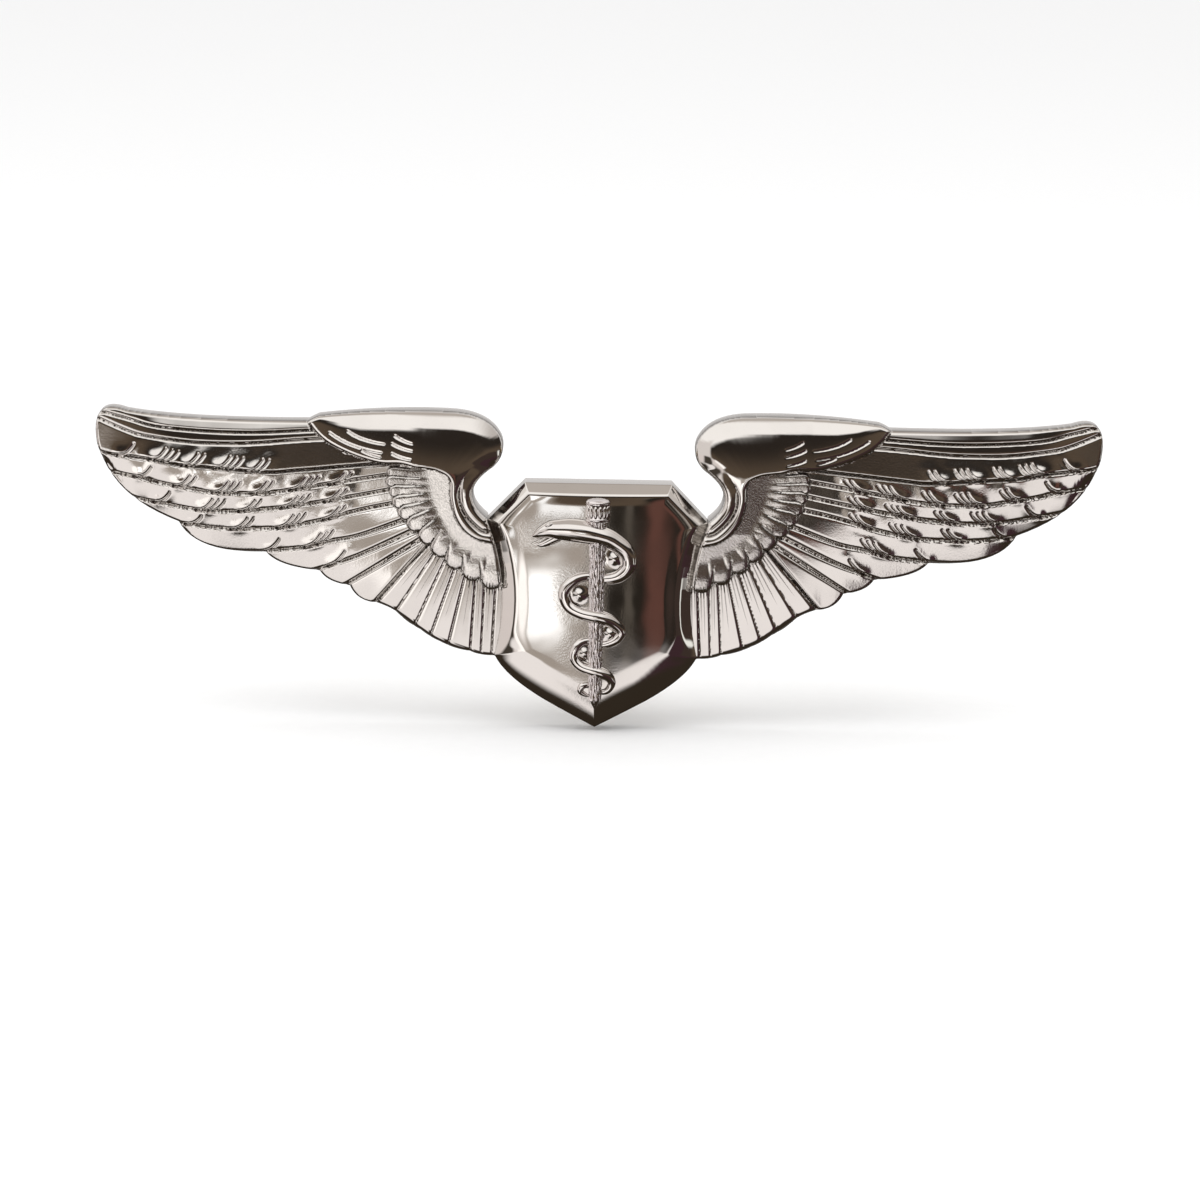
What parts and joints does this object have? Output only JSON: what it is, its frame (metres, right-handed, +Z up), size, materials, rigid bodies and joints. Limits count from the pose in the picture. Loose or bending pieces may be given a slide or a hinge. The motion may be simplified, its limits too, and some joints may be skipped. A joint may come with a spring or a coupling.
{
  "type": "winged uniform badge pin",
  "caption": "Polished metal winged shield badge with a rod and serpent, held through cloth by pointed posts and spring butterfly clutches.",
  "frame": {"origin": "centre of the badge on the plane of its flat back rim, where it lies on the cloth", "axes": "+X to the viewer's right along the span, +Z up as worn, +Y from the back into the cloth, so the front faces -Y"},
  "size_m": [0.0762, 0.0131, 0.0241],
  "materials": {
    "struck_badge": "mirror-polished nickel plate with darkened hollows and a rough ground round the emblem",
    "emblem": "mirror-polished nickel plate, the rod lightly grained",
    "post": "drawn nickel-plated wire",
    "solder": "dull solder",
    "clutch_shell": "bright stamped brass, lightly scuffed",
    "clutch_spring": "satin spring brass strip"
  },
  "bodies": {
    "badge": {"left_wing": "struck_badge", "right_wing": "struck_badge", "shield": "struck_badge", "staff": "emblem", "serpent": "emblem", "left_post": "post", "centre_post": "post", "right_post": "post", "left_post_pad": "solder", "centre_post_pad": "solder", "right_post_pad": "solder"},
    "left_clutch": {"left_clutch_base": "clutch_shell", "left_clutch_dome": "clutch_shell", "left_clutch_strap": "clutch_spring"},
    "left_clutch_inner_leaf": {"left_clutch_inner_leaf": "clutch_spring"},
    "left_clutch_outer_leaf": {"left_clutch_outer_leaf": "clutch_spring"},
    "centre_clutch": {"centre_clutch_base": "clutch_shell", "centre_clutch_dome": "clutch_shell", "centre_clutch_strap": "clutch_spring"},
    "centre_clutch_right_leaf": {"centre_clutch_right_leaf": "clutch_spring"},
    "centre_clutch_left_leaf": {"centre_clutch_left_leaf": "clutch_spring"},
    "right_clutch": {"right_clutch_base": "clutch_shell", "right_clutch_dome": "clutch_shell", "right_clutch_strap": "clutch_spring"},
    "right_clutch_outer_leaf": {"right_clutch_outer_leaf": "clutch_spring"},
    "right_clutch_inner_leaf": {"right_clutch_inner_leaf": "clutch_spring"}
  },
  "joints": [
    {"name": "left_clutch_slide", "type": "slide", "parent": "badge", "child": "left_clutch", "axis": [0, 1, 0], "range_m": [-0.0012, 0.009]},
    {"name": "left_clutch_inner_squeeze", "type": "hinge", "parent": "left_clutch", "child": "left_clutch_inner_leaf", "pos_m": [-0.01667, 0.00455, 0.0047], "axis": [0, 0, 1], "range_deg": [0, 12], "stiffness_Nm_per_rad": 0.004, "springref_deg": -5.73},
    {"name": "left_clutch_outer_squeeze", "type": "hinge", "parent": "left_clutch", "child": "left_clutch_outer_leaf", "pos_m": [-0.02332, 0.00455, 0.0047], "axis": [0, 0, -1], "range_deg": [0, 12], "stiffness_Nm_per_rad": 0.004, "springref_deg": -5.73},
    {"name": "centre_clutch_slide", "type": "slide", "parent": "badge", "child": "centre_clutch", "axis": [0, 1, 0], "range_m": [-0.0012, 0.009]},
    {"name": "centre_clutch_right_squeeze", "type": "hinge", "parent": "centre_clutch", "child": "centre_clutch_right_leaf", "pos_m": [0.00332, 0.00455, -0.002], "axis": [0, 0, 1], "range_deg": [0, 12], "stiffness_Nm_per_rad": 0.004, "springref_deg": -5.73},
    {"name": "centre_clutch_left_squeeze", "type": "hinge", "parent": "centre_clutch", "child": "centre_clutch_left_leaf", "pos_m": [-0.00332, 0.00455, -0.002], "axis": [0, 0, -1], "range_deg": [0, 12], "stiffness_Nm_per_rad": 0.004, "springref_deg": -5.73},
    {"name": "right_clutch_slide", "type": "slide", "parent": "badge", "child": "right_clutch", "axis": [0, 1, 0], "range_m": [-0.0012, 0.009]},
    {"name": "right_clutch_outer_squeeze", "type": "hinge", "parent": "right_clutch", "child": "right_clutch_outer_leaf", "pos_m": [0.02332, 0.00455, 0.0047], "axis": [0, 0, 1], "range_deg": [0, 12], "stiffness_Nm_per_rad": 0.004, "springref_deg": -5.73},
    {"name": "right_clutch_inner_squeeze", "type": "hinge", "parent": "right_clutch", "child": "right_clutch_inner_leaf", "pos_m": [0.01667, 0.00455, 0.0047], "axis": [0, 0, -1], "range_deg": [0, 12], "stiffness_Nm_per_rad": 0.004, "springref_deg": -5.73}
  ],
  "couplings": [
    {"joint": "left_clutch_outer_squeeze", "follows": "left_clutch_inner_squeeze", "ratio": 1},
    {"joint": "centre_clutch_left_squeeze", "follows": "centre_clutch_right_squeeze", "ratio": 1},
    {"joint": "right_clutch_inner_squeeze", "follows": "right_clutch_outer_squeeze", "ratio": 1}
  ]
}
